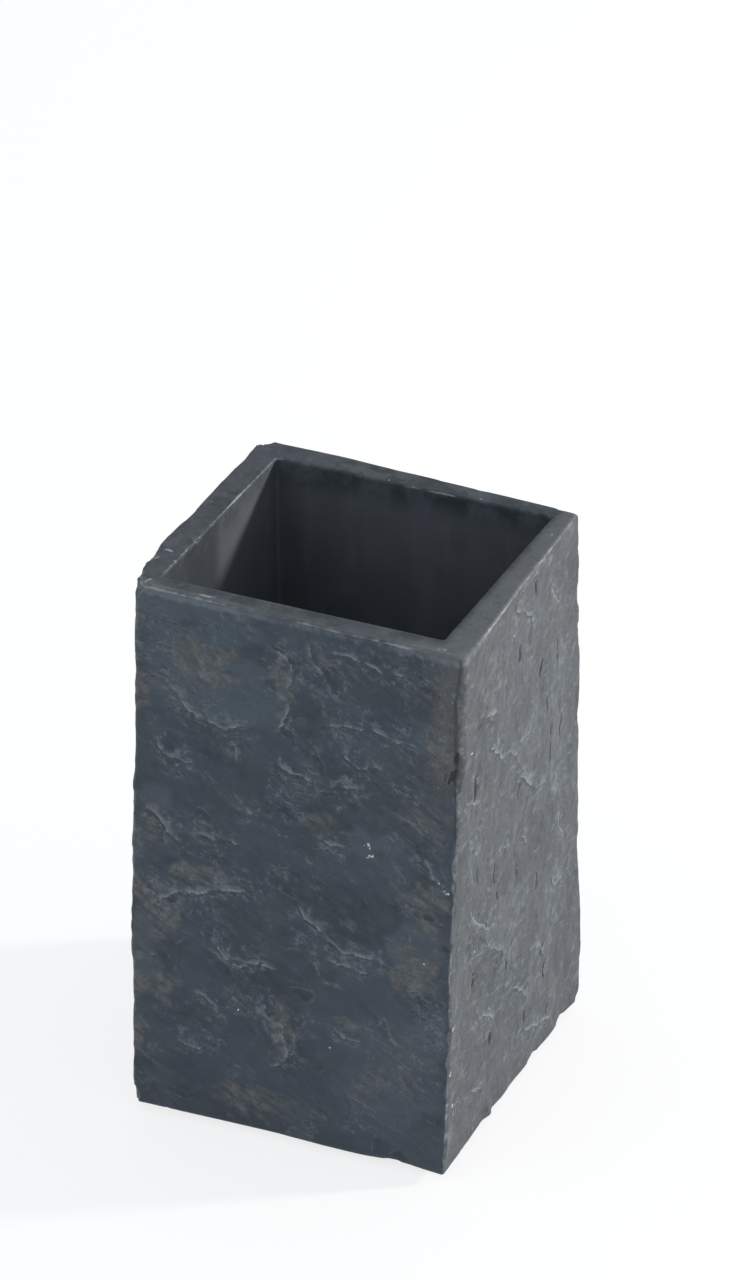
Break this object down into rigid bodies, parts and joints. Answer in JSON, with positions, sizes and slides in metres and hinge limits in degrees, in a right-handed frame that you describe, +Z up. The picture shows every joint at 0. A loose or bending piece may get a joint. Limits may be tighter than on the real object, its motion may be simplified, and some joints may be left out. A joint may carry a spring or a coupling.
{
  "type": "toothbrush tumbler",
  "caption": "Square open-topped tumbler that stands on a washstand and holds toothbrushes; riven-slate faces, smooth rim and cavity, stick-on rubber feet.",
  "frame": {"origin": "on the table, under the middle of the tumbler", "axes": "+Z up, along the tumbler's height; +X to the right and -Y to the front, seen from the front"},
  "size_m": [0.0685, 0.0682, 0.1117],
  "materials": {
    "cast_resin": "satin, stone-filled resin with a riven-slate texture on the outside",
    "foot_rubber": "matt",
    "adhesive_film": "matt, milky"
  },
  "bodies": {
    "root": {"tumbler_body": "cast_resin", "foot_front_left": "foot_rubber", "foot_front_right": "foot_rubber", "foot_rear_left": "foot_rubber", "foot_rear_right": "foot_rubber", "film_front_left": "adhesive_film", "film_front_right": "adhesive_film", "film_rear_left": "adhesive_film", "film_rear_right": "adhesive_film"}
  },
  "joints": []
}
